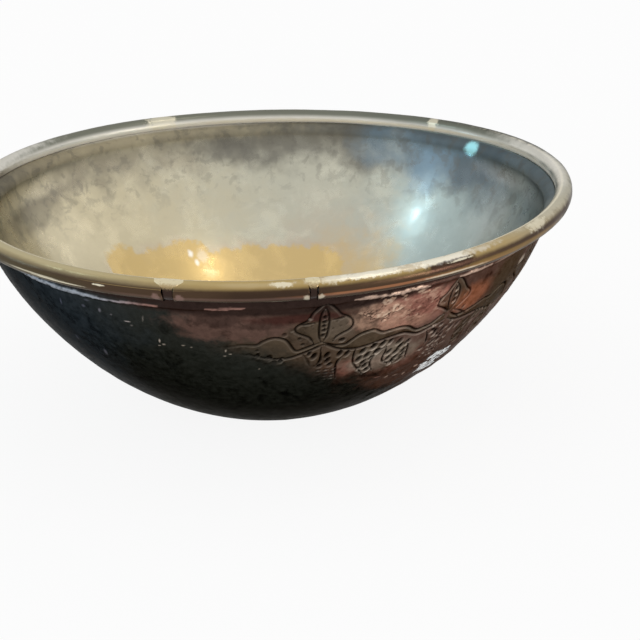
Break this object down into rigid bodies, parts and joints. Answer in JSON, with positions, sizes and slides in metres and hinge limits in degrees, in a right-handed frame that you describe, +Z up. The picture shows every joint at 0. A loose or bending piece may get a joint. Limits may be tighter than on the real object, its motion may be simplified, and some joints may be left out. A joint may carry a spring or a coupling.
{
  "type": "bowl",
  "caption": "Round copper bowl, silver plated inside, with an engraved vine frieze outside and a brass-edged rolled rim over a wire.",
  "frame": {"origin": "middle of the flat underside that the bowl stands on", "axes": "+Z up along the bowl's axis, -Y towards the soldered joints of the edging, +X to the right seen from there"},
  "size_m": [0.23, 0.23, 0.081],
  "materials": {
    "copper": "dark oxidised copper, hand raised, engraved and punched, with the copper showing through",
    "silver_plating": "silver plating, hazy, with dark tarnish under the rim and a golden tone low down",
    "iron_wire": "plain drawn wire, hidden",
    "brass_edging": "brass strip, rubbed bright on top and brown below",
    "solder": "rough pale solder"
  },
  "bodies": {
    "root": {"bowl_body": "copper", "silver_lining": "silver_plating", "rim_wire": "iron_wire", "rim_edging_long": "brass_edging", "rim_edging_short": "brass_edging", "rim_solder_left": "solder", "rim_solder_right": "solder"}
  },
  "joints": []
}
